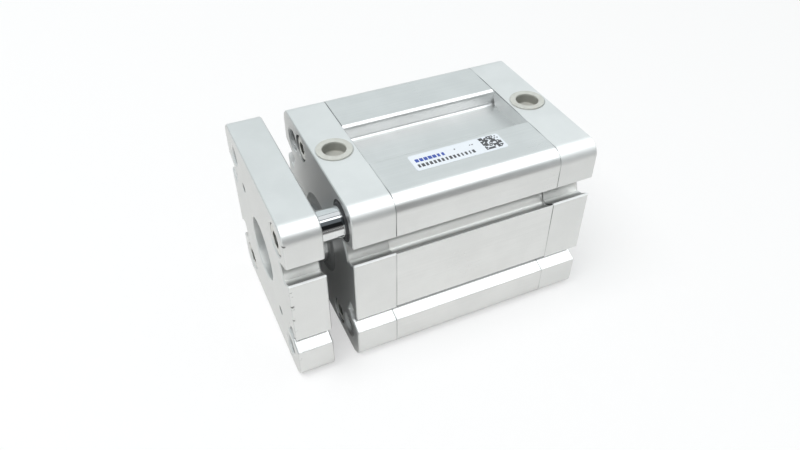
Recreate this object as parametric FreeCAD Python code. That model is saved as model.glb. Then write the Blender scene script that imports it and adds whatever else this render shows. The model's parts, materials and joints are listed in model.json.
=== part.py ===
import FreeCAD, Part
import math
import os

from FreeCAD import Vector

# Guided compact pneumatic cylinder: 50 mm bore, 40 mm stroke, with a yoke plate
# on the piston rod and two guide rods that keep the plate from turning.
#
# Frame: +X is the way the rod extends, +Z is up (the side with the air ports).
# The origin is on the cylinder axis, at the rear cap's mounting face.
# All sizes are in millimetres. The model stands retracted.

# ---- bore, rods and outline ----------------------------------------------------
bore_r = 25.0
stroke = 40.0
rod_r = 10.0             # piston rod
guide_rod_r = 5.0
bush_wall = 1.0          # plain bushes of the guide rods
guide_wall = 1.8805      # barrel bore to guide bush
guide_edge = 8.75        # guide rod axis to the flat sides
corner_r = 5.0           # long corner edges
cap_length = 14.0        # each end cap
plate_gap = 8.5          # front cap to yoke plate, retracted
plate_length = 12.0      # yoke plate thickness
edge_break = 0.35        # machined chamfer round the end faces
seam_break = 0.15        # chamfer where caps meet the barrel

# ---- side grooves and channels -------------------------------------------------
groove_to_guide = 4.5    # guide rod axis down to the groove's outer lip
groove_mouth = 6.55      # outer lip to inner lip, on caps and plate
barrel_lip_relief = 0.6  # the barrel's inner lip stands this much further in
groove_slope = 22.7      # degrees, underside of the corner rail
groove_floor_wall = 3.0  # bore to groove floor, on caps and plate
barrel_floor_relief = 0.4
groove_knee = 3.1        # face to the knee of the inner lip
groove_knee_drop = 2.3   # inner lip down to the knee
groove_toe_drop = 3.0    # inner lip down to where it meets the floor
channel_width = 21.0     # flat-bottomed channel along the barrel, top and bottom
channel_wall = 1.5       # bore to the channel's floor
channel_edge_r = 1.6
channel_floor_r = 0.8

# ---- clearances ----------------------------------------------------------------
slide_gap = 0.03         # plain bearings to their rods, per side
seal_gap = 0.05          # seals to the face they wipe, per side
piston_gap = 0.2         # piston metal to bore, per side
seat_gap = 0.02          # parts pressed or dropped into a seat, per side
thread_gap = 0.03        # screw thread to its nut thread, per side
end_gap = 0.5            # piston to cap spigot at each end of the stroke
free_gap = 0.5           # rods to the plain length of their holes, per side
head_gap = 0.45          # screw heads to their counterbores, per side

# ---- end caps ------------------------------------------------------------------
spigot_length = 2.0
bumper_inset = 6.0       # bore to the bumper's outside
bumper_width = 4.0
bumper_seat = 3.0        # depth of the bumper's seat in the spigot face
bumper_proud = 0.3
o_ring_r = 0.55          # section radius of the barrel's end seals
mount_thread_r = 4.0     # M8
mount_floor = 3.0        # metal left behind the mounting threads
thread_lead = 0.5        # chamfer at every thread's mouth
cap_screw_r = 2.5        # M5 screws that hold each cap to the barrel
cap_screw_wall = 1.0     # channel to screw
cap_screw_bore_wall = 1.6
cap_screw_head_r = 4.25
cap_screw_head = 5.0
cap_screw_sunk = 0.5     # head below the cap's face
cap_screw_grip = 14.0    # thread in the barrel
cap_screw_spare = 6.0    # tapped length beyond the screw

# ---- air ports -----------------------------------------------------------------
port_r = 4.86            # G1/8
passage_r = 2.0          # drilling from the port into the chamber
passage_inset = 3.5      # bore to the passage's axis
plug_flange_r = 5.9
plug_flange = 0.4
plug_edge_r = 0.15
plug_stem = 6.2
plug_wall = 0.9
plug_floor = 3.0         # stem's end up to the bottom of the cup
plug_gap = 0.06

# ---- rod and guide bearings in the front cap -----------------------------------
rod_bush_wall = 2.0
rod_seal_width = 4.0
rod_seal_length = 4.5
rod_seal_proud = 0.3
rod_shoulder = 1.5       # metal between rod bush and rod seal
guide_shoulder = 1.0     # metal behind the cap's guide bush
barrel_bush_length = 12.0
barrel_bush_sunk = 2.0   # behind the front cap's inner face
wiper_width = 1.75
wiper_length = 2.0
wiper_proud = 0.5
guide_rod_sunk = 2.0     # guide rod end to the rear cap, retracted
rod_end_break = 0.5

# ---- piston --------------------------------------------------------------------
piston_length = 12.0
seal_land = 1.0          # metal outside each seal
seal_width = 2.6
seal_depth = 4.5
magnet_inset = 2.6       # bore to the magnet's outside
magnet_depth = 4.4
magnet_width = 2.8
wear_ring_gap = 0.05
rod_neck_step = 4.0      # piston rod's shoulder at the piston
rod_neck = 7.0
piston_screw_r = 4.0
piston_screw_head_r = 7.0
piston_screw_head = 2.8
piston_screw_length = 18.0
piston_screw_spare = 2.0

# ---- yoke plate ----------------------------------------------------------------
locating_r = 11.0        # locating bore for the load
locating_depth = 3.0
yoke_screw_r = 5.0       # M10
yoke_screw_head_r = 8.0
yoke_screw_head = 3.8
yoke_screw_sunk = 0.2    # head below the locating bore's floor
yoke_screw_length = 23.0
yoke_screw_spare = 1.0
rod_collar_step = 3.0    # rod end that centres the plate
rod_collar = 2.0
guide_seat = 2.5         # guide rod into the plate's rear
guide_screw_r = 3.0      # M6
guide_screw_head_r = 5.0
guide_screw_head = 6.0
guide_screw_length = 16.0
guide_screw_sunk = 0.3
guide_screw_spare = 2.0
dowel_r = 1.5
dowel_wall = 8.713       # locating bore to dowel hole
dowel_depth = 6.0

# ---- places across the outline -------------------------------------------------
corner = (bore_r + guide_wall + guide_rod_r + bush_wall) / math.sqrt(2)
half = corner + guide_edge
width = 2 * half
groove_top_z = corner - groove_to_guide
groove_low_z = groove_top_z - groove_mouth
channel_floor_z = bore_r + channel_wall
cap_screw_y = channel_width / 2 + cap_screw_wall + cap_screw_r
cap_screw_z = math.sqrt((bore_r + cap_screw_bore_wall + cap_screw_r) ** 2 - cap_screw_y ** 2)
bumper_r_out = bore_r - bumper_inset
bumper_r_in = bumper_r_out - bumper_width
passage_z = bore_r - passage_inset
rod_seal_r = rod_r + rod_seal_width
wiper_r = guide_rod_r + wiper_width
seal_root_r = bore_r - seal_depth
magnet_r_out = bore_r - magnet_inset
magnet_r_in = magnet_r_out - magnet_depth
guide_bush_seat_r = guide_rod_r + bush_wall + seat_gap
rod_neck_r = rod_r - rod_neck_step
rod_collar_r = rod_r - rod_collar_step
plug_hole_r = port_r - plug_gap - plug_wall
dowel_place = (locating_r + dowel_wall + dowel_r) / math.sqrt(2)

# ---- places along X ------------------------------------------------------------
barrel_length = stroke + piston_length + 2 * (spigot_length + end_gap)
rear_seam_x = cap_length
front_seam_x = rear_seam_x + barrel_length
front_face_x = front_seam_x + cap_length
plate_rear_x = front_face_x + plate_gap
plate_front_x = plate_rear_x + plate_length
rear_spigot_x = rear_seam_x + spigot_length
front_spigot_x = front_seam_x - spigot_length
piston_rear_x = rear_spigot_x + end_gap
piston_front_x = piston_rear_x + piston_length
piston_mid_x = piston_rear_x + piston_length / 2
rod_seal_x = front_face_x - rod_seal_length
rod_bush_end_x = rod_seal_x - rod_shoulder
wiper_x = front_face_x - wiper_length
cap_bush_x = front_seam_x + guide_shoulder
barrel_bush_x = front_seam_x - barrel_bush_sunk - barrel_bush_length
guide_rear_x = rear_seam_x + guide_rod_sunk
guide_front_x = plate_rear_x + guide_seat
guide_screw_x = plate_front_x - guide_screw_sunk - guide_screw_head
collar_x = plate_rear_x + rod_collar
yoke_bore_x = plate_front_x - locating_depth
yoke_screw_x = yoke_bore_x - yoke_screw_sunk - yoke_screw_head
neck_x = piston_front_x - rod_neck
piston_screw_x = piston_rear_x + piston_screw_head

DIR_X = Vector(1, 0, 0)
DIR_Z = Vector(0, 0, 1)


# ---- building blocks -----------------------------------------------------------
def rod_x(radius, x0, x1, y=0.0, z=0.0):
    """Round bar along X, its ends in either order."""
    return Part.makeCylinder(radius, abs(x1 - x0), Vector(min(x0, x1), y, z), DIR_X)


def ring_x(r_out, r_in, x0, x1, y=0.0, z=0.0):
    """Round sleeve along X, its ends in either order."""
    return rod_x(r_out, x0, x1, y, z).cut(rod_x(r_in, x0, x1, y, z))


def cone_x(r0, r1, x0, x1, y=0.0, z=0.0):
    """Tapered bar along X, radius r0 at x0 and r1 at x1 (x1 may be behind x0)."""
    way = DIR_X if x1 > x0 else -DIR_X
    return Part.makeCone(r0, r1, abs(x1 - x0), Vector(x0, y, z), way)


def turned_x(points, y=0.0, z=0.0):
    """Solid turned about X from an outline of (x, radius) points."""
    wire = Part.makePolygon([Vector(x, 0, r) for x, r in points + points[:1]])
    solid = Part.Face(wire).revolve(Vector(0, 0, 0), DIR_X, 360)
    solid.translate(Vector(0, y, z))
    return solid


def hexagon_x(across, x0, x1, y=0.0, z=0.0):
    """Hexagon bar along X, measured across its flats."""
    r = across / math.sqrt(3)
    turns = [math.radians(60 * k) for k in range(7)]
    wire = Part.makePolygon([Vector(x0, y + r * math.cos(t), z + r * math.sin(t)) for t in turns])
    return Part.Face(wire).extrude(Vector(x1 - x0, 0, 0))


def thread_hole_x(radius, mouth_x, depth, inward, y=0.0, z=0.0):
    """Tool for a threaded hole at its major diameter, with the lead chamfer at its mouth."""
    hole = rod_x(radius, mouth_x, mouth_x + inward * depth, y, z)
    lead = cone_x(radius + thread_lead, radius, mouth_x, mouth_x + inward * thread_lead, y, z)
    return hole.fuse(lead)


def socket_screw(thread_r, length, head_r, head, seat_x, outward, y=0.0, z=0.0):
    """Hex socket cap screw whose head sits on seat_x and points the outward way."""
    top_x = seat_x + outward * head
    body = break_rim(rod_x(head_r, seat_x, top_x, y, z), top_x, head_r, head_r * 0.07)
    body = body.fuse(rod_x(thread_r - thread_gap, seat_x - outward * length, seat_x, y, z))
    socket_x = top_x - outward * min(thread_r, head * 0.6)
    across = round(thread_r * 5 / 3)
    body = body.cut(hexagon_x(across, socket_x, top_x, y, z))
    return body


def break_rim(solid, x, radius, size):
    """Chamfers the circular edge of the given radius that lies in the plane x."""
    rim = [e for e in solid.Edges
           if isinstance(e.Curve, Part.Circle)
           and abs(e.Curve.Radius - radius) < 1e-6
           and abs(e.Curve.Center.x - x) < 1e-6]
    return solid.makeChamfer(size, rim)


def turned_about(solid):
    """The same piece on the far side: the design repeats after half a turn about X."""
    twin = solid.copy()
    twin.rotate(Vector(0, 0, 0), DIR_X, 180)
    return twin


def both(solid):
    return solid.fuse(turned_about(solid))


def mirrored_z(solid):
    return solid.mirror(Vector(0, 0, 0), DIR_Z)


def save(name, shape):
    os.makedirs("parts", exist_ok=True)
    solids = shape.Solids
    shape = solids[0] if len(solids) == 1 else Part.makeCompound(solids)
    shape.exportStep("parts/" + name + ".step")
    print(name, len(solids), round(shape.Volume, 1), "valid" if shape.isValid() else "INVALID")


# ---- outline shared by the caps, the barrel and the plate ----------------------
def side_groove(x0, x1, lip_z, floor_r):
    """Cutting tool for the upper groove on the +Y side.

    The groove leans towards the middle of the side: the rail's underside slopes
    in and down, the floor runs round the bore, and the inner lip drops to it.
    """
    slope = math.tan(math.radians(groove_slope))
    # where the rail's underside meets the round floor
    a = 1 + slope ** 2
    c0 = groove_top_z - slope * half
    b = 2 * slope * c0
    c = c0 ** 2 - floor_r ** 2
    root_y = (-b + math.sqrt(b ** 2 - 4 * a * c)) / (2 * a)
    root_z = c0 + slope * root_y
    toe_z = lip_z - groove_toe_drop
    toe_y = math.sqrt(floor_r ** 2 - toe_z ** 2)
    mid = (math.atan2(root_z, root_y) + math.atan2(toe_z, toe_y)) / 2
    outside = half + 1
    root = Vector(x0, root_y, root_z)
    on_floor = Vector(x0, floor_r * math.cos(mid), floor_r * math.sin(mid))
    toe = Vector(x0, toe_y, toe_z)
    knee = Vector(x0, half - groove_knee, lip_z - groove_knee_drop)
    lip = Vector(x0, half, lip_z)
    below = Vector(x0, outside, lip_z)
    above = Vector(x0, outside, groove_top_z)
    rail = Vector(x0, half, groove_top_z)
    edges = [Part.Arc(root, on_floor, toe).toShape()]
    for start, end in ((toe, knee), (knee, lip), (lip, below), (below, above),
                       (above, rail), (rail, root)):
        edges.append(Part.makeLine(start, end))
    return Part.Face(Part.Wire(edges)).extrude(Vector(x1 - x0, 0, 0))


def four_grooves(x0, x1, lip_z, floor_r):
    upper = side_groove(x0, x1, lip_z, floor_r)
    near = upper.fuse(mirrored_z(upper))
    return near.fuse(turned_about(near))


def top_channel(x0, x1):
    """Cutting tool for the flat channel along the top, with rounded top edges."""
    w = channel_width / 2
    floor_z = channel_floor_z
    over_z = half + 1
    r, f = channel_edge_r, channel_floor_r
    q = math.sqrt(0.5)
    edges = []
    for side in (-1, 1):
        top = Vector(x0, side * (w + r), half)
        edge_mid = Vector(x0, side * (w + r - r * q), half - r + r * q)
        edge_low = Vector(x0, side * w, half - r)
        floor_high = Vector(x0, side * w, floor_z + f)
        floor_mid = Vector(x0, side * (w - f + f * q), floor_z + f - f * q)
        floor = Vector(x0, side * (w - f), floor_z)
        edges += [Part.makeLine(Vector(x0, side * (w + r), over_z), top),
                  Part.Arc(top, edge_mid, edge_low).toShape(),
                  Part.makeLine(edge_low, floor_high),
                  Part.Arc(floor_high, floor_mid, floor).toShape()]
    edges.append(Part.makeLine(Vector(x0, w - f, floor_z), Vector(x0, f - w, floor_z)))
    edges.append(Part.makeLine(Vector(x0, w + r, over_z), Vector(x0, -w - r, over_z)))
    wire = Part.Wire(Part.__sortEdges__(edges))
    return Part.Face(wire).extrude(Vector(x1 - x0, 0, 0))


def square_block(x0, x1, break0, break1, lip_z, floor_r):
    """Length of the outline from x0 to x1, the edges of each end broken by its own size."""
    low, high = min(x0, x1), max(x0, x1)
    block = Part.makeBox(high - low, width, width, Vector(low, -half, -half))
    long_edges = [e for e in block.Edges
                  if abs(e.Vertexes[0].X - e.Vertexes[1].X) > 1e-6]
    block = block.makeFillet(corner_r, long_edges)
    block = block.cut(four_grooves(low - 1, high + 1, lip_z, floor_r))
    for x, size in ((x0, break0), (x1, break1)):
        end = [e for e in block.Edges if all(abs(v.X - x) < 1e-6 for v in e.Vertexes)]
        block = block.makeChamfer(size, end)
    return block


# ---- stationary parts ----------------------------------------------------------
def corners(free_only):
    """(y, z) of the mounting holes: the two without a guide rod first."""
    free = [(-corner, corner), (corner, -corner)]
    return free if free_only else free + [(corner, corner), (-corner, -corner)]


def make_barrel():
    barrel = square_block(rear_seam_x, front_seam_x, seam_break, seam_break,
                          groove_low_z - barrel_lip_relief,
                          bore_r + groove_floor_wall - barrel_floor_relief)
    channel = top_channel(rear_seam_x - 1, front_seam_x + 1)
    barrel = barrel.cut(channel).cut(turned_about(channel))
    cuts = rod_x(bore_r, rear_seam_x, front_seam_x)
    seat_r = bore_r + 2 * o_ring_r + 2 * seal_gap
    for x, inward in ((rear_seam_x, 1), (front_seam_x, -1)):
        cuts = cuts.fuse(rod_x(seat_r, x, x + inward * (2 * o_ring_r + 2 * seal_gap)))
        screw = thread_hole_x(cap_screw_r, x, cap_screw_grip + cap_screw_spare, inward,
                              -cap_screw_y, cap_screw_z)
        cuts = cuts.fuse(both(screw))
    guide = rod_x(guide_rod_r + free_gap, rear_seam_x, front_seam_x, corner, corner)
    guide = guide.fuse(rod_x(guide_bush_seat_r, barrel_bush_x, front_seam_x, corner, corner))
    return barrel.cut(cuts).cut(both(guide))


def cap_screw_hole(face_x, inward):
    """Counterbore and clearance hole of one cap screw."""
    floor_x = face_x + inward * (cap_screw_sunk + cap_screw_head)
    seam_x = face_x + inward * cap_length
    sink = rod_x(cap_screw_head_r + head_gap, face_x, floor_x, -cap_screw_y, cap_screw_z)
    return sink.fuse(rod_x(cap_screw_r + seat_gap, floor_x, seam_x, -cap_screw_y, cap_screw_z))


def make_cap(face_x, inward):
    """An end cap without its own bores: spigot, bumper seat, port and screw holes."""
    seam_x = face_x + inward * cap_length
    tip_x = seam_x + inward * spigot_length
    cap = square_block(face_x, seam_x, edge_break, seam_break, groove_low_z,
                       bore_r + groove_floor_wall)
    cap = cap.fuse(rod_x(bore_r - seat_gap, seam_x, tip_x)).removeSplitter()
    seat_x = tip_x - inward * bumper_seat
    cap = cap.cut(ring_x(bumper_r_out, bumper_r_in, seat_x, tip_x))
    port_x = (face_x + seam_x) / 2
    port = Part.makeCylinder(port_r, half - passage_z, Vector(port_x, 0, passage_z), DIR_Z)
    mouth = Part.makeCone(port_r, port_r + thread_lead, thread_lead,
                          Vector(port_x, 0, half - thread_lead), DIR_Z)
    cap = cap.cut(port).cut(mouth).cut(rod_x(passage_r, port_x, tip_x, 0, passage_z))
    return cap.cut(both(cap_screw_hole(face_x, inward)))


def make_rear_cap():
    cap = make_cap(0.0, 1)
    for y, z in corners(False):
        cap = cap.cut(thread_hole_x(mount_thread_r, 0.0, cap_length - mount_floor, 1, y, z))
    return cap


def make_front_cap():
    cap = make_cap(front_face_x, -1)
    for y, z in corners(True):
        cap = cap.cut(thread_hole_x(mount_thread_r, front_face_x, cap_length - mount_floor,
                                    -1, y, z))
    cap = cap.cut(rod_x(rod_r + rod_bush_wall, front_spigot_x, rod_bush_end_x))
    cap = cap.cut(rod_x(rod_r + free_gap, rod_bush_end_x, rod_seal_x))
    cap = cap.cut(rod_x(rod_seal_r, rod_seal_x, front_face_x))
    guide = rod_x(guide_rod_r + free_gap, front_seam_x, cap_bush_x, corner, corner)
    guide = guide.fuse(rod_x(guide_bush_seat_r, cap_bush_x, wiper_x, corner, corner))
    guide = guide.fuse(rod_x(wiper_r, wiper_x, front_face_x, corner, corner))
    return cap.cut(both(guide))


def make_cap_screws(face_x, outward):
    seat_x = face_x - outward * (cap_screw_sunk + cap_screw_head)
    length = cap_length - cap_screw_sunk - cap_screw_head + cap_screw_grip
    screw = socket_screw(cap_screw_r, length, cap_screw_head_r, cap_screw_head,
                         seat_x, outward, -cap_screw_y, cap_screw_z)
    return Part.makeCompound([screw, turned_about(screw)])


def make_bumper(tip_x, inward):
    """Elastic end stop, seated in the spigot's face and standing a little proud."""
    return ring_x(bumper_r_out - seat_gap, bumper_r_in + seat_gap,
                  tip_x - inward * bumper_seat, tip_x + inward * bumper_proud)


def make_o_ring(seam_x, inward):
    """End seal of the barrel, a six-sided section in the round."""
    middle_r = bore_r + seal_gap + o_ring_r
    middle_x = seam_x + inward * (seal_gap + o_ring_r)
    turns = [math.radians(60 * k) for k in range(6)]
    return turned_x([(middle_x + o_ring_r * math.cos(t), middle_r + o_ring_r * math.sin(t))
                     for t in turns])


def make_rod_bush():
    return ring_x(rod_r + rod_bush_wall - seat_gap, rod_r + slide_gap,
                  front_spigot_x, rod_bush_end_x)


def wiper(shaft_r, out_r, length, proud):
    """Wiper ring in the front cap's face, its lip leaning out along the shaft."""
    back_x = front_face_x - length
    lip_r = shaft_r + seal_gap
    seat_r = out_r - seal_gap
    return turned_x([(back_x, lip_r), (back_x, seat_r), (front_face_x, seat_r),
                     (front_face_x, (seat_r + lip_r) / 2), (front_face_x + proud, lip_r + 0.4),
                     (front_face_x + proud, lip_r)])


def moved(shape, y, z):
    shape.translate(Vector(0, y, z))
    return shape


def guide_bush(x0, x1):
    return ring_x(guide_rod_r + bush_wall, guide_rod_r + slide_gap, x0, x1, corner, corner)


def make_plug(port_x):
    """Push-in plug of a port: a cup with a flange that lies on the cap."""
    top = half + plug_flange
    cup = Part.makeCylinder(plug_flange_r, plug_flange, Vector(port_x, 0, half), DIR_Z)
    rim = [e for e in cup.Edges if isinstance(e.Curve, Part.Circle)
           and abs(e.Curve.Center.z - top) < 1e-6]
    cup = cup.makeFillet(plug_edge_r, rim)
    stem = Part.makeCylinder(port_r - plug_gap, plug_stem, Vector(port_x, 0, half - plug_stem), DIR_Z)
    floor_z = half - plug_stem + plug_floor
    hole = Part.makeCylinder(plug_hole_r, top - floor_z, Vector(port_x, 0, floor_z), DIR_Z)
    mouth = Part.makeCone(plug_hole_r, plug_hole_r + plug_edge_r, plug_edge_r,
                          Vector(port_x, 0, top - plug_edge_r), DIR_Z)
    return cup.fuse(stem).cut(hole).cut(mouth)


# ---- moving parts --------------------------------------------------------------
def make_piston_rod():
    rod = rod_x(rod_r, piston_front_x, plate_rear_x)
    rod = rod.fuse(rod_x(rod_neck_r, neck_x, piston_front_x))
    rod = rod.fuse(rod_x(rod_collar_r, plate_rear_x, collar_x))
    rod = rod.cut(rod_x(piston_screw_r, neck_x,
                        piston_screw_x + piston_screw_length + piston_screw_spare))
    tapped = yoke_screw_length - (yoke_screw_x - collar_x) + yoke_screw_spare
    return rod.cut(thread_hole_x(yoke_screw_r, collar_x, tapped, -1))


def piston_half(outer_x, seal_x):
    """One half of the piston, from its outside face to the middle."""
    body = break_rim(rod_x(bore_r - piston_gap, outer_x, piston_mid_x), outer_x,
                     bore_r - piston_gap, edge_break)
    body = body.cut(ring_x(bore_r, seal_root_r, seal_x, seal_x + seal_width))
    return body.cut(ring_x(bore_r, magnet_r_in, piston_mid_x - magnet_width / 2,
                           piston_mid_x + magnet_width / 2))


def make_piston_rear_half():
    body = piston_half(piston_rear_x, piston_rear_x + seal_land)
    body = body.cut(rod_x(piston_screw_head_r + head_gap, piston_rear_x, piston_screw_x))
    body = body.cut(rod_x(piston_screw_r + seat_gap, piston_screw_x, neck_x))
    return body.cut(rod_x(rod_neck_r + seat_gap, neck_x, piston_mid_x))


def make_piston_front_half():
    body = piston_half(piston_front_x, piston_front_x - seal_land - seal_width)
    return body.cut(rod_x(rod_neck_r + seat_gap, piston_mid_x, piston_front_x))


def make_piston_seal(x0, lip_way):
    """Lip seal in its groove; the open side faces the pressure."""
    back = x0 if lip_way > 0 else x0 + seal_width
    root, tip = seal_root_r + seat_gap, bore_r - seal_gap

    def at(step):
        return back + lip_way * step * seal_width
    notch = 0.2 * seal_depth
    mid = (root + tip) / 2
    return turned_x([(at(0.02), root), (at(0.98), root), (at(0.98), mid - notch), (at(0.5), mid),
                     (at(0.98), mid + notch), (at(0.98), tip), (at(0.02), tip - notch / 2)])


def plate_hole(radius, floor_x, y=0.0, z=0.0):
    """Hole from the plate's front down to floor_x, its mouth broken."""
    mouth = cone_x(radius + edge_break, radius, plate_front_x, plate_front_x - edge_break, y, z)
    return rod_x(radius, floor_x, plate_front_x, y, z).fuse(mouth)


def make_yoke_plate():
    plate = square_block(plate_rear_x, plate_front_x, edge_break, edge_break,
                         groove_low_z, bore_r + groove_floor_wall)
    cuts = plate_hole(locating_r, yoke_bore_x)
    cuts = cuts.fuse(rod_x(yoke_screw_head_r + head_gap, yoke_screw_x, yoke_bore_x))
    cuts = cuts.fuse(rod_x(yoke_screw_r + head_gap, collar_x, yoke_screw_x))
    cuts = cuts.fuse(rod_x(rod_collar_r + seat_gap, plate_rear_x, collar_x))
    plate = plate.cut(cuts)
    for y, z in corners(True):
        plate = plate.cut(thread_hole_x(mount_thread_r, plate_front_x, plate_length, -1, y, z))
    fixing = plate_hole(guide_screw_head_r + head_gap, guide_screw_x, corner, corner)
    fixing = fixing.fuse(rod_x(guide_screw_r + head_gap, guide_front_x, guide_screw_x,
                               corner, corner))
    fixing = fixing.fuse(rod_x(guide_rod_r + seat_gap, plate_rear_x, guide_front_x,
                               corner, corner))
    dowel = plate_hole(dowel_r, plate_front_x - dowel_depth, -dowel_place, dowel_place)
    return plate.cut(both(fixing)).cut(both(dowel))


def make_guide_rod():
    """The upper rod; the lower one is the same, half a turn about X away."""
    rod = rod_x(guide_rod_r, guide_rear_x, guide_front_x, corner, corner)
    ends = [e for e in rod.Edges if isinstance(e.Curve, Part.Circle)]
    rod = rod.makeChamfer(rod_end_break, ends)
    return rod.cut(rod_x(guide_screw_r, guide_screw_x - guide_screw_length - guide_screw_spare,
                         guide_front_x, corner, corner))


def make_guide_screws():
    screw = socket_screw(guide_screw_r, guide_screw_length, guide_screw_head_r,
                         guide_screw_head, guide_screw_x, 1, corner, corner)
    return Part.makeCompound([screw, turned_about(screw)])


def main():
    save("barrel", make_barrel())
    save("rear_cap", make_rear_cap())
    save("front_cap", make_front_cap())
    save("cap_screws_rear", make_cap_screws(0.0, -1))
    save("cap_screws_front", make_cap_screws(front_face_x, 1))
    save("bumper_rear", make_bumper(rear_spigot_x, 1))
    save("bumper_front", make_bumper(front_spigot_x, -1))
    save("barrel_o_ring_rear", make_o_ring(rear_seam_x, 1))
    save("barrel_o_ring_front", make_o_ring(front_seam_x, -1))
    save("rod_bush", make_rod_bush())
    save("rod_wiper", wiper(rod_r, rod_seal_r, rod_seal_length, rod_seal_proud))
    cap_bush = guide_bush(cap_bush_x, wiper_x)
    barrel_bush = guide_bush(barrel_bush_x, barrel_bush_x + barrel_bush_length)
    guide_wiper = moved(wiper(guide_rod_r, wiper_r, wiper_length, wiper_proud), corner, corner)
    guide_rod = make_guide_rod()
    for place, turn in (("upper", False), ("lower", True)):
        for name, piece in (("guide_bush_cap_", cap_bush), ("guide_bush_barrel_", barrel_bush),
                            ("guide_wiper_", guide_wiper), ("guide_rod_", guide_rod)):
            save(name + place, turned_about(piece) if turn else piece)
    save("port_plug_rear", make_plug(cap_length / 2))
    save("port_plug_front", make_plug(front_face_x - cap_length / 2))

    save("yoke_plate", make_yoke_plate())
    save("guide_rod_screws", make_guide_screws())
    save("yoke_screw", socket_screw(yoke_screw_r, yoke_screw_length, yoke_screw_head_r,
                                    yoke_screw_head, yoke_screw_x, 1))
    save("piston_rod", make_piston_rod())
    save("piston_rear_half", make_piston_rear_half())
    save("piston_front_half", make_piston_front_half())
    save("piston_screw", socket_screw(piston_screw_r, piston_screw_length, piston_screw_head_r,
                                      piston_screw_head, piston_screw_x, -1))
    save("piston_seal_rear", make_piston_seal(piston_rear_x + seal_land, -1))
    save("piston_seal_front", make_piston_seal(piston_front_x - seal_land - seal_width, 1))
    save("magnet_ring", ring_x(magnet_r_out, magnet_r_in + seat_gap,
                               piston_mid_x - magnet_width / 2, piston_mid_x + magnet_width / 2))
    save("wear_ring", ring_x(bore_r - slide_gap, magnet_r_out + wear_ring_gap,
                             piston_mid_x - magnet_width / 2, piston_mid_x + magnet_width / 2))


main()
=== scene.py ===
import json
import math

import bpy
from mathutils import Matrix, Vector

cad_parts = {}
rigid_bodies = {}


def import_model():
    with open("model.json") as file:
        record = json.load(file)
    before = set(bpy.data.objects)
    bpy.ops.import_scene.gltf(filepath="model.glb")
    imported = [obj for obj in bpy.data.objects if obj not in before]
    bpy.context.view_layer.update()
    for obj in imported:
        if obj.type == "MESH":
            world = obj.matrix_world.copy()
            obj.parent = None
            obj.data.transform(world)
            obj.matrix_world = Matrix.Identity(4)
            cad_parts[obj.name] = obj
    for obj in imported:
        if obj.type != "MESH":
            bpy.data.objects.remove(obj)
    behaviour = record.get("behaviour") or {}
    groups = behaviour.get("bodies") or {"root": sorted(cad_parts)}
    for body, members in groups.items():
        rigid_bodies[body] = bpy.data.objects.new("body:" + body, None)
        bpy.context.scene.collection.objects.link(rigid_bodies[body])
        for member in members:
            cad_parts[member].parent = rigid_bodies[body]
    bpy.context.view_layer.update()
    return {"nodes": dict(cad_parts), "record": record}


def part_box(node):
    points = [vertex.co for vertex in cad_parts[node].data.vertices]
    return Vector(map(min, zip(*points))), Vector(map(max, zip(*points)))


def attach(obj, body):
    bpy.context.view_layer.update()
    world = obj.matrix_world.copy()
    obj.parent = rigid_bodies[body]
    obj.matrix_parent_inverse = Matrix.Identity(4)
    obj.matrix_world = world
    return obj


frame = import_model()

mm = 0.001
nodes = frame["nodes"]
print("frame loaded with", len(nodes), "nodes")


# places that later pieces share, read from the frame
def span(name, axis):
    low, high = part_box(name)
    return low[axis], high[axis]


bottomZ, topZ = span("barrel", 2)
barrelStart, barrelEnd = span("barrel", 0)
capFront = span("front_cap", 0)[1]
plateBack, plateFront = span("yoke_plate", 0)
plateSide = span("yoke_plate", 1)[1]
rodY = sum(span("guide_rod_upper", 1)) / 2
rodZ = sum(span("guide_rod_upper", 2)) / 2
plugX = [sum(span(name, 0)) / 2 for name in ("port_plug_rear", "port_plug_front")]


def newObject(name, data):
    made = bpy.data.objects.new(name, data)
    bpy.context.scene.collection.objects.link(made)
    return made


# a wire is one socket, and maths on it adds Math nodes to its graph
class Wire:
    def __init__(self, graph, socket):
        self.graph, self.socket = graph, socket

    def maths(self, operation, *others):
        values = dict(enumerate([self, *others]))
        return self.graph.add("ShaderNodeMath", {"operation": operation}, values)

    def __add__(self, other):
        return self.maths("ADD", other)

    __radd__ = __add__

    def __sub__(self, other):
        return self.maths("SUBTRACT", other)

    def __rsub__(self, other):
        return self.graph.add("ShaderNodeMath", {"operation": "SUBTRACT"}, {0: other, 1: self})

    def __mul__(self, other):
        return self.maths("MULTIPLY", other)

    __rmul__ = __mul__

    def __truediv__(self, other):
        return self.maths("DIVIDE", other)

    def __rtruediv__(self, other):
        return self.graph.add("ShaderNodeMath", {"operation": "DIVIDE"}, {0: other, 1: self})

    def __abs__(self):
        return self.maths("ABSOLUTE")

    def least(self, other):
        return self.maths("MINIMUM", other)

    def most(self, other):
        return self.maths("MAXIMUM", other)

    # a mask from 0 to 1 becomes a number from low to high
    def between(self, low, high):
        return self * (high - low) + low


# every node of a graph comes from add: its type, its settings, then what its sockets hold
class Graph:
    def __init__(self, tree):
        self.tree = tree

    def add(self, kind, settings=None, sockets=None, output=0):
        node = self.tree.nodes.new(kind)
        for key, value in (settings or {}).items():
            setattr(node, key, value)
        for key, value in (sockets or {}).items():
            self.feed(node.inputs[key], value)
        return Wire(self, node.outputs[output]) if node.outputs else None

    def feed(self, socket, value):
        if isinstance(value, Wire):
            self.tree.links.new(value.socket, socket)
        elif socket.type == "RGBA":
            socket.default_value = (*value, 1.0)
        else:
            socket.default_value = value


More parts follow.
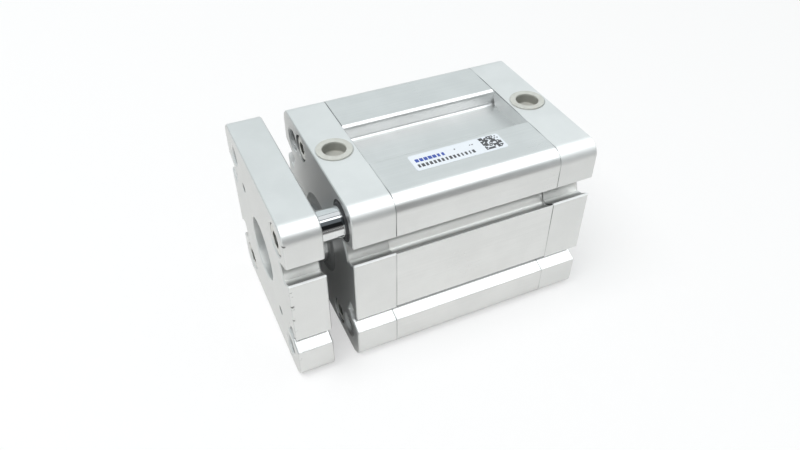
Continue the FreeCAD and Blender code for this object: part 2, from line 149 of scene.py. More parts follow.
# the graph of a material or of the world
class Paint(Graph):
    def __init__(self, owner):
        owner.use_nodes = True
        owner.node_tree.nodes.clear()
        super().__init__(owner.node_tree)
        self.owner = owner

    # object coordinates in millimetres
    def place(self):
        return self.scaled(self.add("ShaderNodeTexCoord", output="Object"), 1 / mm)

    def parts(self, vector):
        split = self.add("ShaderNodeSeparateXYZ", sockets={0: vector}).socket.node
        return [Wire(self, socket) for socket in split.outputs]

    def scaled(self, vector, factor):
        return self.add("ShaderNodeVectorMath", {"operation": "SCALE"}, {0: vector, "Scale": factor})

    def stretched(self, vector, sizes):
        return self.add("ShaderNodeVectorMath", {"operation": "MULTIPLY"}, {0: vector, 1: sizes})

    def noise(self, vector, scale, detail=2.0, rough=0.5, output="Fac"):
        values = {"Vector": vector, "Scale": scale, "Detail": detail, "Roughness": rough}
        return self.add("ShaderNodeTexNoise", sockets=values, output=output)

    # masks: step goes from 0 at low to 1 at high, above is 1 past its limit and below is 1 up to it
    def step(self, value, low, high):
        return self.add("ShaderNodeMapRange", {"interpolation_type": "SMOOTHSTEP"},
                        {"Value": value, "From Min": low, "From Max": high})

    def above(self, value, limit, soft=0.1):
        return self.step(value, limit, limit + soft)

    def below(self, value, limit, soft=0.1):
        return self.step(value, limit + soft, limit)

    def mix(self, factor, first, second):
        return self.add("ShaderNodeMix", {"data_type": "RGBA"}, {0: factor, 6: first, 7: second}, output=2)

    # marks are pairs of a mask and the colour that it lays over the last one
    def marked(self, colour, marks):
        for mask, stain in marks:
            colour = self.mix(mask, colour, stain)
        return colour

    def bump(self, height):
        return self.add("ShaderNodeBump", sockets={"Height": height, "Distance": mm, "Strength": 1.0})

    def blend(self, factor, first, second):
        return self.add("ShaderNodeMixShader", sockets={0: factor, 1: first, 2: second})

    def surface(self, shader, output="ShaderNodeOutputMaterial"):
        self.add(output, sockets={"Surface": shader})
        return self.owner

    def finish(self, sockets):
        return self.surface(self.add("ShaderNodeBsdfPrincipled", sockets=sockets))


# the anodised skins differ in shade, die lines and grain; ends are the planes of their end faces; a
# hole is its distance from the two middle planes, its radius, the depths between which painted shade
# darkens its wall, in millimetres, and how dark that painted shade is
cornerHole = rodY / mm
anodised = {
    "barrel_anodised": dict(
        pale=(0.78, 0.785, 0.785), deep=(0.735, 0.74, 0.74), rough=0.32, drawLines=0.7, grain=0.012,
        ends=(0.0, capFront / mm), holes=(), knocked=False),
    "cap_anodised": dict(
        pale=(0.80, 0.805, 0.805), deep=(0.765, 0.77, 0.77), rough=0.46, drawLines=0.0, grain=0.022,
        ends=(0.0, capFront / mm), knocked=False,
        holes=((cornerHole, cornerHole, 7.5, 0.4, 1.6, 0.5), (14.0, 25.5, 4.8, 0.1, 0.8, 0.8))),
    "plate_anodised": dict(
        pale=(0.79, 0.795, 0.795), deep=(0.755, 0.76, 0.76), rough=0.42, drawLines=0.0, grain=0.022,
        ends=(plateBack / mm, plateFront / mm), knocked=True,
        holes=((0.0, 0.0, 11.2, 0.2, 2.4, 0.35), (cornerHole, cornerHole, 5.9, 0.3, 1.3, 0.8),
               (15.0, 15.0, 1.7, 0.0, 0.25, 0.8))),
}
holeShade = (0.10, 0.10, 0.10)


# the barrel's outer faces, and how far out the near side starts, in millimetres
sideFace, topFace, bottomFace = span("barrel", 1)[1] / mm, topZ / mm, bottomZ / mm
nearFrom = 20.0


# where a point of an anodised piece is, in millimetres; deep is measured from its nearer end face
class Spot:
    def __init__(self, paint, ends):
        low, self.front = ends
        self.at = paint.place()
        self.along, self.side, self.height = paint.parts(self.at)
        self.across, self.up = abs(self.side), abs(self.height)
        self.deep = (self.along - low).least(self.front - self.along)
        self.nearSide = paint.above(self.side, nearFrom, 1.0)


# dark line where a cap meets the barrel: only on the outer faces, none on the bare floor of the
# channel, and weaker low down
seamLine = dict(half=0.16, weakest=0.15, strongest=0.75, channel=12.2, channelUp=topFace - 0.3,
                lowFrom=-8.0, lowTo=12.0, lowShare=0.35, sideFrom=sideFace - 1.1, topFrom=topFace - 0.8,
                colour=(0.06, 0.06, 0.065))


def seamMarks(paint, spot):
    away = abs(spot.along - barrelStart / mm).least(abs(spot.along - barrelEnd / mm))
    bare = paint.below(spot.across, seamLine["channel"]) * paint.below(spot.up, seamLine["channelUp"])
    grime = paint.step(paint.noise(spot.at, 0.07, 1.0), 0.35, 0.65)
    grime = grime.between(seamLine["weakest"], seamLine["strongest"])
    low = paint.step(spot.height, seamLine["lowFrom"], seamLine["lowTo"]).between(seamLine["lowShare"], 1)
    outside = paint.above(spot.across, seamLine["sideFrom"], 0.2).most(
        paint.above(spot.up, seamLine["topFrom"], 0.3))
    seam = paint.below(away, seamLine["half"], 0.03) * (1 - bare) * grime * low * outside
    return [(seam, seamLine["colour"])]


# the near side's upper groove: its floor is lightened with painted light and leans, painted shade lies
# under the rail and on the lip, and the lip's outer edge has a painted highlight and is rounded
groove = dict(low=7.0, top=18.0, mouth=sideFace - 0.2, endGap=0.35,
              inner=26.9, full=29.3, outer=sideFace - 0.8,
              floorPaintedLight=0.7, floorColour=(0.95, 0.945, 0.93), lean=0.35, leanFrom=9.0,
              railFrom=10.6, railTo=12.2, railShadow=0.40, railShadowColour=(0.25, 0.245, 0.23),
              lip=12.15, lipShade=0.70, lipShadeColour=(0.09, 0.09, 0.085),
              edge=0.40, edgeHighlight=0.9, edgeHighlightColour=(0.98, 0.98, 0.98), edgeTilt=0.8)


def upperGroove(paint, spot):
    inside = (spot.nearSide * paint.below(spot.across, groove["mouth"])
              * paint.above(spot.height, groove["low"], 0.5) * paint.below(spot.height, groove["top"], 0.5)
              * paint.above(spot.deep, groove["endGap"], 0.15))
    outward = paint.step(spot.across, groove["inner"], groove["full"])
    rail = paint.step(spot.height, groove["railFrom"], groove["railTo"])
    lip = (outward * paint.below(spot.across, groove["outer"])
           * paint.below(spot.height, groove["lip"] - 0.1))
    middle = groove["lip"] - groove["edge"]
    edge = (spot.nearSide * paint.above(spot.across, groove["outer"])
            * paint.below(abs(spot.height - middle), groove["edge"]))
    # painted light on the floor, painted shade under the rail and on the lip, painted highlight on the
    # lip's edge
    marks = [(inside * (1 - outward) * groove["floorPaintedLight"], groove["floorColour"]),
             (inside * rail * groove["railShadow"], groove["railShadowColour"]),
             (inside * lip * groove["lipShade"], groove["lipShadeColour"]),
             (edge * groove["edgeHighlight"], groove["edgeHighlightColour"])]
    leaning = (spot.height - groove["leanFrom"]).most(0.0) * groove["lean"]
    rounded = (spot.height - (middle - groove["edge"])).most(0.0) * groove["edgeTilt"]
    relief = leaning * inside * paint.below(spot.across, groove["inner"], 1.0) - rounded * edge
    return marks, relief


# both lower grooves' slopes are smooth, fall away towards the outside and have painted shade at the root
slope = dict(low=-19.5, top=-14.5, start=27.0, end=sideFace - 0.1, endGap=0.2, tilt=0.40, rough=0.20,
             root=28.1, rootFrom=0.4, rootFull=1.2, rootShade=0.80, rootShadeColour=(0.06, 0.06, 0.06))


def lowerSlope(paint, spot):
    sloped = (paint.below(spot.height, slope["top"], 0.5) * paint.above(spot.height, slope["low"], 0.5)
              * paint.below(spot.across, slope["end"], 0.07) * paint.above(spot.deep, slope["endGap"], 0.15)
              * paint.above(spot.across, slope["start"] - 0.1, 0.2))
    # painted shade at the slope's root, under the block
    root = (sloped * paint.below(spot.across, slope["root"], 0.4)
            * paint.step(spot.deep, slope["rootFrom"], slope["rootFull"]))
    fall = (spot.across - slope["start"]).most(0.0) * sloped * slope["tilt"]
    return sloped, [(root * slope["rootShade"], slope["rootShadeColour"])], fall


# painted shade on the underside, a painted shadow ring round each plug, painted shade on the milled end
# faces, and the knocks along the plate's two front side edges
wear = dict(underside=bottomFace + 0.4, undersideShade=0.8, undersideShadeColour=(0.28, 0.28, 0.275),
            ringRadius=6.0, ringHalf=0.2, ringFar=0.15, ringNear=0.45, ringShadowColour=(0.12, 0.12, 0.10),
            topSkin=topFace - 0.5, endSkin=0.1, endShade=0.80, frontSkin=0.5, frontShade=0.86,
            knockReach=0.5, knockColour=(0.20, 0.20, 0.20))


def undersideShadeMarks(paint, spot):
    # painted shade along the underside edge near the floor
    dull = paint.below(spot.height, wear["underside"], 0.7) * wear["undersideShade"]
    return [(dull, wear["undersideShadeColour"])]


# how far a point is from the nearer plug's axis, squared
def squaredDistance(along, side):
    behind = abs(along - plugX[0] / mm).least(abs(along - plugX[1] / mm))
    return behind * behind + side * side


def plugShadowMarks(paint, spot):
    # painted shadow round each plug's flange, stronger on the near side
    away = abs(squaredDistance(spot.along, spot.side).maths("SQRT") - wear["ringRadius"])
    ring = paint.below(away, wear["ringHalf"]) * paint.above(spot.height, wear["topSkin"], 0.4)
    ring = ring * paint.step(spot.side, -2.0, 4.0).between(wear["ringFar"], wear["ringNear"])
    return [(ring, wear["ringShadowColour"])]


def shadedEnds(paint, spot, colour):
    # painted shade on the end faces, lighter on the plate's front face
    front = paint.above(spot.along, plateFront / mm - wear["frontSkin"])
    shadedColour = paint.scaled(colour, front.between(wear["endShade"], wear["frontShade"]))
    return paint.mix(paint.below(spot.deep, wear["endSkin"], 0.25), colour, shadedColour)


def holeMarks(paint, spot, holes):
    marks = []
    for y, z, radius, start, full, dark in holes:
        dy, dz = spot.across - y, spot.up - z
        inside = paint.step(dy * dy + dz * dz, (radius + 0.3) ** 2, (radius + 0.1) ** 2)
        # painted shade on the hole's wall
        marks.append((inside * paint.step(spot.deep, start, full) * dark, holeShade))
    return marks


def knockMarks(paint, spot):
    fromEdge = spot.front - spot.along + (plateSide / mm - spot.across)  # along the skin, round the edge
    knocks = paint.step(paint.noise(paint.stretched(spot.at, (0.3, 0.3, 1.0)), 0.8), 0.62, 0.68)
    return [(knocks * paint.below(fromEdge, wear["knockReach"], 0.8), wear["knockColour"])]


# fine handling scratches, as bent hairs that show only in patches
scratch = dict(bend=9.0, half=0.006, depth=0.01, shine=0.08, share=0.35, colour=(0.86, 0.88, 0.88))


def scratches(paint, at):
    swirl = paint.noise(at, 0.09, 1.0, output="Color")
    bend = (scratch["bend"],) * 3
    bent = paint.add("ShaderNodeVectorMath", {"operation": "MULTIPLY_ADD"}, {0: swirl, 1: bend, 2: at})
    hair = paint.noise(paint.stretched(bent, (0.05, 1.1, 0.6)), 1.0, 1.0, 0.3)
    line = paint.step(abs(hair - 0.5), scratch["half"], 0.0)
    return line * paint.step(paint.noise(at, 0.045, 1.0), 0.55, 0.68)


# how clouding, grain and the die lines along an extrusion show in colour, gloss and relief
skin = dict(lineShade=0.7, grainShade=0.25, palest=0.7, darkest=0.3, cloudGloss=0.08, lineGloss=0.10,
            lineDepth=0.02, fineDepth=0.012, metallic=0.94)


def anodisedSkin(name, look):
    paint = Paint(bpy.data.materials.new(name))
    spot = Spot(paint, look["ends"])
    at, drawLines = spot.at, look["drawLines"]
    cloud = paint.noise(at, 0.06, 3.0, 0.6)
    grain = paint.noise(at, 2.6, 3.0, 0.65)
    lines = paint.noise(paint.stretched(at, (0.012, 1.7, 1.7)), 1.0, 4.0, 0.6)
    fineLines = paint.noise(paint.stretched(at, (0.03, 7.0, 7.0)), 1.0)
    worn = scratches(paint, at)
    grooveMarks, grooveRelief = upperGroove(paint, spot)
    sloped, slopeMarks, slopeFall = lowerSlope(paint, spot)
    shade = cloud + (lines - 0.5) * (skin["lineShade"] * drawLines) + (grain - 0.5) * skin["grainShade"]
    shade = paint.step(shade, skin["darkest"], skin["palest"])
    colour = paint.mix(shade, look["deep"], look["pale"])
    colour = paint.marked(colour, [
        (worn * scratch["share"], scratch["colour"]), *seamMarks(paint, spot), *grooveMarks, *slopeMarks,
        *undersideShadeMarks(paint, spot), *plugShadowMarks(paint, spot)])
    colour = shadedEnds(paint, spot, colour)
    colour = paint.marked(colour, holeMarks(paint, spot, look["holes"]))
    if look["knocked"]:
        colour = paint.marked(colour, knockMarks(paint, spot))
    roughness = (cloud - 0.5) * skin["cloudGloss"] + look["rough"]
    roughness = roughness + (fineLines - 0.5) * (skin["lineGloss"] * drawLines)
    roughness = (roughness - worn * scratch["shine"]) * (1 - sloped) + sloped * slope["rough"]
    relief = (lines * skin["lineDepth"] + fineLines * skin["fineDepth"]) * drawLines
    relief = relief + grain * look["grain"]
    relief = relief - worn * scratch["depth"] - slopeFall + grooveRelief
    return paint.finish({"Base Color": colour, "Metallic": skin["metallic"], "Roughness": roughness,
                         "Normal": paint.bump(relief)})


metals = {
    "hard_chrome": dict(colour=(0.80, 0.81, 0.82), dull=(0.74, 0.75, 0.76), rough=0.05, rings=0.05),
    "zinc_steel": dict(colour=(0.66, 0.66, 0.63), dull=(0.50, 0.50, 0.48), rough=0.30, rings=0.5),
    "bush_bronze": dict(colour=(0.60, 0.47, 0.28), dull=(0.42, 0.33, 0.20), rough=0.42, rings=0.6),
    "piston_aluminium": dict(colour=(0.72, 0.73, 0.74), dull=(0.64, 0.65, 0.66), rough=0.30, rings=1.0),
}
# painted reflection bands on the upper guide rod, above its axis: each band's start and end, measured
# outward from the axis, and how dark it is
reflectionBands = dict(bands=((0.95, 2.2, 0.62), (2.2, 2.55, 0.86), (2.95, 4.5, 0.97)),
               colour=(0.03, 0.035, 0.04))


def reflectionMarks(paint, at):
    side, height = paint.parts(at)[1:]
    outward = side - rodY / mm
    above = paint.above(height, rodZ / mm, 0.5)
    marks = []
    for start, end, dark in reflectionBands["bands"]:
        band = paint.above(outward, start - 0.1, 0.2) * paint.below(outward, end - 0.1, 0.2)
        marks.append((band * above * dark, reflectionBands["colour"]))
    return marks


def turnedMetal(name, look):
    paint = Paint(bpy.data.materials.new(name))
    at = paint.place()
    cloud = paint.noise(at, 0.35, 3.0, 0.6)
    rings = paint.noise(paint.stretched(at, (9.0, 0.05, 0.05)), 1.0, 3.0, 0.6)
    colour = paint.mix(paint.step(cloud + (rings - 0.5) * 0.4, 0.35, 0.65), look["dull"], look["colour"])
    # painted reflection bands on the chrome
    if name == "hard_chrome":
        colour = paint.marked(colour, reflectionMarks(paint, at))
    roughness = (cloud - 0.5) * 0.12 + (rings - 0.5) * (0.1 * look["rings"]) + look["rough"]
    return paint.finish({"Base Color": colour, "Metallic": 1.0, "Roughness": roughness,
                         "Normal": paint.bump(rings * (0.004 * look["rings"]))})


moulded = {
    "plug_plastic": dict(colour=(0.63, 0.63, 0.585), dark=(0.58, 0.575, 0.53), rough=0.42, grain=0.02),
    "wiper_rubber": dict(colour=(0.32, 0.325, 0.325), dark=(0.27, 0.275, 0.275), rough=0.50, grain=0.015),
    "seal_rubber": dict(colour=(0.035, 0.035, 0.038), dark=(0.018, 0.018, 0.02), rough=0.50, grain=0.015),
    "bumper_rubber": dict(colour=(0.10, 0.16, 0.30), dark=(0.07, 0.12, 0.24), rough=0.50, grain=0.015),
    "magnet": dict(colour=(0.07, 0.07, 0.07), dark=(0.04, 0.04, 0.04), rough=0.55, grain=0.02),
    "wear_plastic": dict(colour=(0.78, 0.75, 0.66), dark=(0.70, 0.67, 0.58), rough=0.45, grain=0.015),
}
# painted shade darkens each plug's cup from its rim down, less on its floor; heights are from the barrel's
# top
cup = dict(radius=4.1, rim=0.3, fade=0.9, dark=0.62, floor=-3.1, floorLeft=0.35, colour=(0.14, 0.138, 0.12))


def cupShadeMarks(paint, at):
    along, side, height = paint.parts(at)
    up = height - topFace
    away = squaredDistance(along, side)
    inside = paint.step(away, (cup["radius"] + 0.25) ** 2, cup["radius"] ** 2)
    wall = paint.above(up, cup["floor"], 0.4).between(cup["floorLeft"], 1)
    # painted shade inside the cup
    shade = inside * wall * paint.step(up, cup["rim"], cup["rim"] - cup["fade"])
    return [(shade * cup["dark"], cup["colour"])]


def mouldedSkin(name, look):
    paint = Paint(bpy.data.materials.new(name))
    at = paint.place()
    cloud = paint.noise(at, 0.5)
    grain = paint.noise(at, 9.0, 2.0, 0.6)
    colour = paint.mix(paint.step(cloud + (grain - 0.5) * 0.3, 0.3, 0.7), look["dark"], look["colour"])
    if name == "plug_plastic":
        colour = paint.marked(colour, cupShadeMarks(paint, at))
    return paint.finish({"Base Color": colour, "Metallic": 0.0,
                         "Roughness": (grain - 0.5) * 0.15 + look["rough"],
                         "Normal": paint.bump(grain * look["grain"])})


finishes = {}
for makeFinish, looks in ((anodisedSkin, anodised), (turnedMetal, metals), (mouldedSkin, moulded)):
    for name, look in looks.items():
        finishes[name] = makeFinish(name, look)
ownFinish = {"rod_wiper": "wiper_rubber"}  # it shares its slot with the black seals, but is grey
for part in frame["record"]["subparts"]:
    mesh = nodes[part["node"]].data
    mesh.materials.clear()
    mesh.materials.append(finishes[ownFinish.get(part["node"], part["material_slot"])])
print("finishes:", len(finishes))


# sticker on the barrel, with plain blocks where print would be
sticker = dict(length=32 * mm, depth=8 * mm, thick=0.07 * mm, cornerR=0.9 * mm, cornerSteps=8,
               fromFront=12.0 * mm, nearEdge=10.8 * mm, paper=(0.87, 0.90, 0.95), rough=0.35)
stickerX1 = barrelEnd - sticker["fromFront"]
stickerX0 = stickerX1 - sticker["length"]
stickerY1 = span("barrel", 1)[1] - sticker["nearEdge"]
stickerY0 = stickerY1 - sticker["depth"]


def stickerPaper():
    paint = Paint(bpy.data.materials.new("sticker_paper"))
    fibre = paint.noise(paint.place(), 3.0, 3.0, 0.6)
    deep = tuple(c * 0.96 for c in sticker["paper"])
    return paint.finish({"Base Color": paint.mix(fibre, deep, sticker["paper"]), "Metallic": 0.0,
                         "Roughness": (fibre - 0.5) * 0.1 + sticker["rough"],
                         "Normal": paint.bump(fibre * 0.01)})


def cutSticker():
    # closed slab with rounded corners
    radius, steps = sticker["cornerR"], sticker["cornerSteps"]
    outline = []
    for cx, cy, start in ((stickerX1 - radius, stickerY1 - radius, 0),
                          (stickerX0 + radius, stickerY1 - radius, 90),
                          (stickerX0 + radius, stickerY0 + radius, 180),
                          (stickerX1 - radius, stickerY0 + radius, 270)):
        for k in range(steps + 1):
            turn = math.radians(start + 90 * k / steps)
            outline.append((cx + radius * math.cos(turn), cy + radius * math.sin(turn)))
    count = len(outline)
    verts = [(x, y, z) for z in (topZ, topZ + sticker["thick"]) for x, y in outline]
    faces = [tuple(range(count - 1, -1, -1)), tuple(range(count, 2 * count))]
    faces += [(k, (k + 1) % count, count + (k + 1) % count, count + k) for k in range(count)]
    mesh = bpy.data.meshes.new("sticker")
    mesh.from_pydata(verts, [], faces)
    mesh.materials.append(stickerPaper())
    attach(newObject("sticker", mesh), "cylinder_body")


cutSticker()
print("sticker laid")


# a geometry node graph, with its named inputs and the plain mesh that it makes
class Tree(Graph):
    def __init__(self, name, inputs):
        super().__init__(bpy.data.node_groups.new(name, "GeometryNodeTree"))
        face = self.tree.interface
        face.new_socket("Points", in_out="INPUT", socket_type="NodeSocketGeometry")
        self.ids = {}
        for label, kind in inputs.items():
            socket = face.new_socket(label, in_out="INPUT", socket_type="NodeSocket" + kind)
            self.ids[label] = socket.identifier
        face.new_socket("Geometry", in_out="OUTPUT", socket_type="NodeSocketGeometry")
        self.inputs = self.add("NodeGroupInput").socket.node.outputs

    def given(self, label):
        return Wire(self, self.inputs[label])

    def finish(self, geometry):
        real = self.add("GeometryNodeRealizeInstances", sockets={"Geometry": geometry})
        painted = self.add("GeometryNodeSetMaterial", sockets={
            "Geometry": real, "Material": self.given("Finish")})
        self.add("NodeGroupOutput", sockets={"Geometry": painted})

    # the result on the seed points is one plain mesh on one body
    def build(self, name, body, values, points):
        seed = bpy.data.meshes.new(name + "_seed")
        seed.from_pydata(points, [], [])
        holder = newObject(name + "_seed", seed)
        modifier = holder.modifiers.new("shape", "NODES")
        modifier.node_group = self.tree
        for label, value in values.items():
            modifier[self.ids[label]] = value
        shaped = holder.evaluated_get(bpy.context.evaluated_depsgraph_get())
        mesh = bpy.data.meshes.new_from_object(shaped)
        holder.modifiers.remove(modifier)
        bpy.data.objects.remove(holder)
        mesh.name = name
        piece = newObject(name, mesh)
        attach(piece, body)
        return piece


# print: rows of flat cells, some left out and some narrowed by chance
def printTree():
    tree = Tree("printed_cells", {
        "Columns": "Int", "Count": "Int", "PitchX": "Float", "PitchY": "Float", "CellX": "Float",
        "CellY": "Float", "Thick": "Float", "Narrowest": "Float", "Keep": "Float", "Seed": "Int",
        "Finish": "Material"})
    given = tree.given
    index = tree.add("GeometryNodeInputIndex")
    column = index.maths("MODULO", given("Columns"))
    row = (index / given("Columns")).maths("FLOOR")
    place = tree.add("ShaderNodeCombineXYZ", sockets={
        0: column * given("PitchX"), 1: row * given("PitchY")})
    cells = tree.add("GeometryNodePoints", sockets={"Count": given("Count"), "Position": place})
    start = tree.add("GeometryNodeSampleIndex", {"data_type": "FLOAT_VECTOR"}, {
        0: given("Points"), "Value": tree.add("GeometryNodeInputPosition"), "Index": 0})
    cells = tree.add("GeometryNodeSetPosition", sockets={0: cells, "Offset": start})
    kept = tree.add("FunctionNodeRandomValue", {"data_type": "BOOLEAN"},
                    {"Probability": given("Keep"), "Seed": given("Seed")}, output=3)
    wide = tree.add("FunctionNodeRandomValue", {"data_type": "FLOAT"},
                    {2: given("Narrowest"), 3: 1.0, "Seed": given("Seed")}, output=1)
    size = tree.add("ShaderNodeCombineXYZ", sockets={
        0: given("CellX"), 1: given("CellY"), 2: given("Thick")})
    cell = tree.add("GeometryNodeMeshCube", sockets={"Size": size})
    scale = tree.add("ShaderNodeCombineXYZ", sockets={0: wide, 1: 1.0, 2: 1.0})
    tree.finish(tree.add("GeometryNodeInstanceOnPoints", sockets={
        "Points": cells, "Selection": kept, "Instance": cell, "Scale": scale}))
    return tree


# each row is measured in millimetres from the sticker's front near corner, along it and into it
printing = dict(
    thick=0.02 * mm, inkDark=(0.045, 0.045, 0.05), inkBlue=(0.025, 0.06, 0.30),
    rows=dict(
        heading=dict(along=2.0, across=4.9, columns=7, rows=1, pitch=(1.5, 2.0), cell=(1.3, 1.6),
                     narrowest=0.55, keep=1.0, seed=3, ink="inkBlue"),
        small_print=dict(along=14.5, across=5.6, columns=9, rows=1, pitch=(0.9, 1.0), cell=(0.7, 0.5),
                         narrowest=0.4, keep=0.7, seed=8, ink="inkDark"),
        order_line=dict(along=1.6, across=2.2, columns=15, rows=1, pitch=(1.35, 2.0), cell=(1.0, 1.6),
                        narrowest=0.45, keep=1.0, seed=5, ink="inkDark"),
        cell_block=dict(along=24.9, across=1.2, columns=14, rows=14, pitch=(0.47, 0.47),
                        cell=(0.47, 0.47), narrowest=1.0, keep=0.58, seed=11, ink="inkDark")))


def inkSkin(name, colour):
    paint = Paint(bpy.data.materials.new(name))
    dots = paint.noise(paint.place(), 6.0, 2.0, 0.6)
    faded = tuple(min(1.0, c * 1.6 + 0.02) for c in colour)
    return paint.finish({"Base Color": paint.mix(dots, colour, faded), "Metallic": 0.0,
                         "Roughness": (dots - 0.5) * 0.1 + 0.4})


inks = {name: inkSkin("label_" + name, printing[name]) for name in ("inkDark", "inkBlue")}
cellTree = printTree()
for name, row in printing["rows"].items():
    corner = (stickerX1 - row["along"] * mm, stickerY1 - row["across"] * mm,
              topZ + sticker["thick"] + printing["thick"] / 2)
    cellTree.build("label_" + name, "cylinder_body", {
        "Columns": row["columns"], "Count": row["columns"] * row["rows"],
        "PitchX": -row["pitch"][0] * mm, "PitchY": -row["pitch"][1] * mm,
        "CellX": row["cell"][0] * mm, "CellY": row["cell"][1] * mm, "Thick": printing["thick"],
        "Narrowest": row["narrowest"], "Keep": row["keep"], "Seed": row["seed"],
        "Finish": inks[row["ink"]]}, [corner])
print("sticker printed")


# thread ridges: a spiral stands in from the wall of every tapped hole
threads = dict(majorR=4.0 * mm, ridge=0.6 * mm, pitch=1.25 * mm, lead=0.7 * mm, blind=11.0 * mm,
               floorGap=0.7 * mm, pointsPerTurn=28)


def threadTree():
    tree = Tree("thread_ridges", {
        "Turns": "Float", "Radius": "Float", "Length": "Float", "Ridge": "Float",
        "PointsPerTurn": "Int", "Finish": "Material"})
    given = tree.given
    spiral = tree.add("GeometryNodeCurveSpiral", sockets={
        "Resolution": given("PointsPerTurn"), "Rotations": given("Turns"),
        "Start Radius": given("Radius"), "End Radius": given("Radius"), "Height": given("Length")})
    section = tree.add("GeometryNodeCurvePrimitiveCircle", {"mode": "RADIUS"}, {
        "Resolution": 4, "Radius": given("Ridge")})
    ridge = tree.add("GeometryNodeCurveToMesh", sockets={
        "Curve": spiral, "Profile Curve": section, "Fill Caps": True})
    quarter = (0, math.pi / 2, 0)
    along = tree.add("GeometryNodeTransform", sockets={"Geometry": ridge, "Rotation": quarter})
    tree.finish(tree.add("GeometryNodeInstanceOnPoints", sockets={
        "Points": given("Points"), "Instance": along}))
    return tree


ridgeTree = threadTree()
freeCorners = [(-rodY, rodZ), (rodY, -rodZ)]
allCorners = freeCorners + [(rodY, rodZ), (-rodY, -rodZ)]
lead = threads["lead"]
blindRun = threads["blind"] - lead - threads["floorGap"]
plateRun = plateFront - plateBack - 2 * lead
for name, body, slot, startX, run, corners in (
        ("rear_cap_threads", "cylinder_body", "cap_anodised", lead, blindRun, allCorners),
        ("front_cap_threads", "cylinder_body", "cap_anodised", capFront - lead - blindRun, blindRun,
         freeCorners),
        ("yoke_plate_threads", "slide", "plate_anodised", plateBack + lead, plateRun, freeCorners)):
    piece = ridgeTree.build(name, body, {
        "Turns": run / threads["pitch"], "Radius": threads["majorR"], "Length": run,
        "Ridge": threads["ridge"], "PointsPerTurn": threads["pointsPerTurn"],
        "Finish": finishes[slot]}, [(startX, y, z) for y, z in corners])
print("threads cut")


# pale floor and sky, and how white matt surfaces, polished metal and the camera see them
studio = dict(floorSize=6.0, floorColour=(0.945, 0.918, 0.895), floorShown=(0.985, 0.965, 0.965),
              floorCamera=0.50, floorGlossy=0.03,
              skyDiffuse=0.52, skyGlossy=0.82, skyCamera=0.98,
              skyTint=(0.92, 1.0, 1.01), skyShown=(1.0, 0.99, 0.975))
# the dark room behind the camera, which only metal shows: where its floor is, in metres, and its
# patch of sky, by direction
room = dict(level=0.21, floorTint=(1.0, 0.98, 0.96), skyTint=(1.0, 0.99, 0.975),
            floorFrom=0.14, floorTo=0.24, floorMiddle=0.0, floorHalf=0.16,
            wayX=-0.24, wayHalf=0.20, lowY=0.68, fullY=0.82)


def layFloor():
    half = studio["floorSize"] / 2
    mesh = bpy.data.meshes.new("floor")
    mesh.from_pydata([(-half, -half, bottomZ), (half, -half, bottomZ), (half, half, bottomZ),
                      (-half, half, bottomZ)], [], [(0, 1, 2, 3)])
    paint = Paint(bpy.data.materials.new("floor_white"))
    camera = paint.add("ShaderNodeLightPath", output="Is Camera Ray")
    glossy = paint.add("ShaderNodeLightPath", output="Is Glossy Ray")
    through = paint.add("ShaderNodeLightPath", output="Is Transmission Ray")
    lit = paint.add("ShaderNodeBsdfDiffuse", sockets={"Color": studio["floorColour"]})
    litShown = paint.add("ShaderNodeBsdfDiffuse", sockets={"Color": studio["floorShown"]})
    white = paint.add("ShaderNodeEmission", sockets={"Color": (1.0, 1.0, 1.0), "Strength": 1.0})
    dark = paint.add("ShaderNodeEmission", sockets={"Color": room["floorTint"], "Strength": room["level"]})
    share = camera * studio["floorCamera"] + (glossy + through) * studio["floorGlossy"]
    pale = paint.blend(share, paint.blend(camera, lit, litShown), white)
    along, across = paint.parts(paint.add("ShaderNodeTexCoord", output="Object"))[:2]
    beside = abs(along - room["floorMiddle"])
    past = (paint.step(across, room["floorFrom"], room["floorTo"]) * glossy
            * paint.below(beside, room["floorHalf"], room["floorHalf"]))
    mesh.materials.append(paint.surface(paint.blend(past, pale, dark)))
    newObject("floor", mesh)


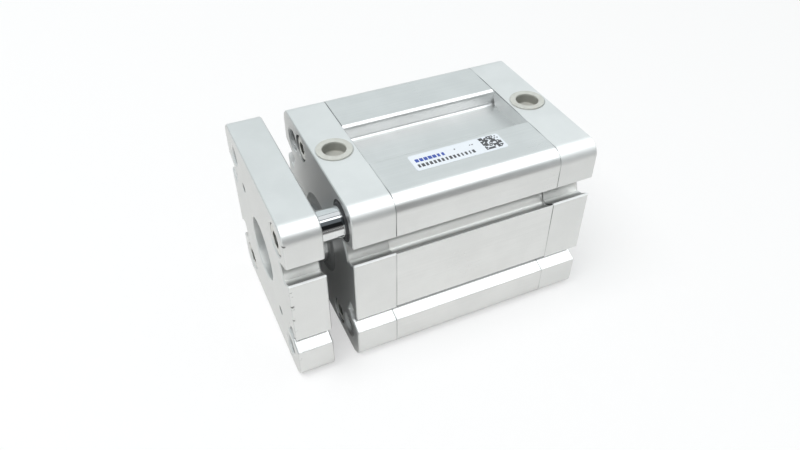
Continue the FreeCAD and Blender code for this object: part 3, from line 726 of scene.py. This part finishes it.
def lightSky():
    world = bpy.data.worlds.new("studio")
    paint = Paint(world)

    def sky(tint, level):
        return paint.add("ShaderNodeBackground", sockets={"Color": tint, "Strength": level})

    camera = paint.add("ShaderNodeLightPath", output="Is Camera Ray")
    glossy = paint.add("ShaderNodeLightPath", output="Is Glossy Ray")
    through = paint.add("ShaderNodeLightPath", output="Is Transmission Ray")
    along, across = paint.parts(paint.add("ShaderNodeTexCoord", output="Generated"))[:2]
    inRoom = (paint.step(across, room["lowY"], room["fullY"])
              * paint.below(abs(along - room["wayX"]), room["wayHalf"], room["wayHalf"]))
    mirrored = paint.blend(inRoom, sky(studio["skyTint"], studio["skyGlossy"]),
                           sky(room["skyTint"], room["level"]))
    unseen = paint.blend(glossy, sky(studio["skyTint"], studio["skyDiffuse"]), mirrored)
    shown = paint.blend(camera.most(through), unseen, sky(studio["skyShown"], studio["skyCamera"]))
    paint.surface(shown, "ShaderNodeOutputWorld")
    bpy.context.scene.world = world


# soft boxes: way out from the object, distance, length along it, depth, radiance, and whether
# they shine on metal or only light matt surfaces
lamps = {
    "strip": dict(way=(-0.12, 0.25, 0.96), distance=0.9, length=1.4, depth=1.28, radiance=1.42, shine=True),
    "fill": dict(way=(0.40, 0.14, 1.0), distance=2.2, length=1.5, depth=1.5, radiance=4.4, shine=False),
}
middle = Vector(((barrelStart + plateFront) / 2, 0, 0))


def hangLamp(name, lamp):
    light = bpy.data.lights.new(name, "AREA")
    light.shape = "RECTANGLE"
    light.size = lamp["length"]
    light.size_y = lamp["depth"]
    light.energy = lamp["radiance"] * math.pi * lamp["length"] * lamp["depth"]
    holder = newObject(name, light)
    holder.visible_diffuse = not lamp["shine"]
    holder.visible_glossy = lamp["shine"]
    back = Vector(lamp["way"]).normalized()
    side = (Vector((1, 0, 0)) - back * back.x).normalized()
    turned = Matrix((side, back.cross(side), back)).transposed().to_4x4()
    holder.matrix_world = Matrix.Translation(middle + back * lamp["distance"]) @ turned


layFloor()
lightSky()
for name, lamp in lamps.items():
    hangLamp(name, lamp)

# the camera stands high on the near side, looking back along the body
view = dict(aim=(0.05622, 0.00213, -0.00568), azimuth=155.435, elevation=41.151, distance=0.2512,
            roll=0.03, lens=31.664, sensor=36, nearest=0.01)


def placeCamera():
    turn, lift = math.radians(view["azimuth"]), math.radians(view["elevation"])
    outward = Vector((math.sin(turn) * math.cos(lift), -math.cos(turn) * math.cos(lift), math.sin(lift)))
    camera = newObject("camera", bpy.data.cameras.new("camera"))
    camera.data.lens = view["lens"]
    camera.data.sensor_width = view["sensor"]
    camera.data.clip_start = view["nearest"]
    roll = Matrix.Rotation(math.radians(view["roll"]), 4, "Z")
    aimed = (-outward).to_track_quat("-Z", "Y").to_matrix().to_4x4() @ roll
    camera.matrix_world = Matrix.Translation(Vector(view["aim"]) + outward * view["distance"]) @ aimed
    bpy.context.scene.camera = camera


placeCamera()
bpy.context.scene.view_settings.view_transform = "Standard"
print("studio set")
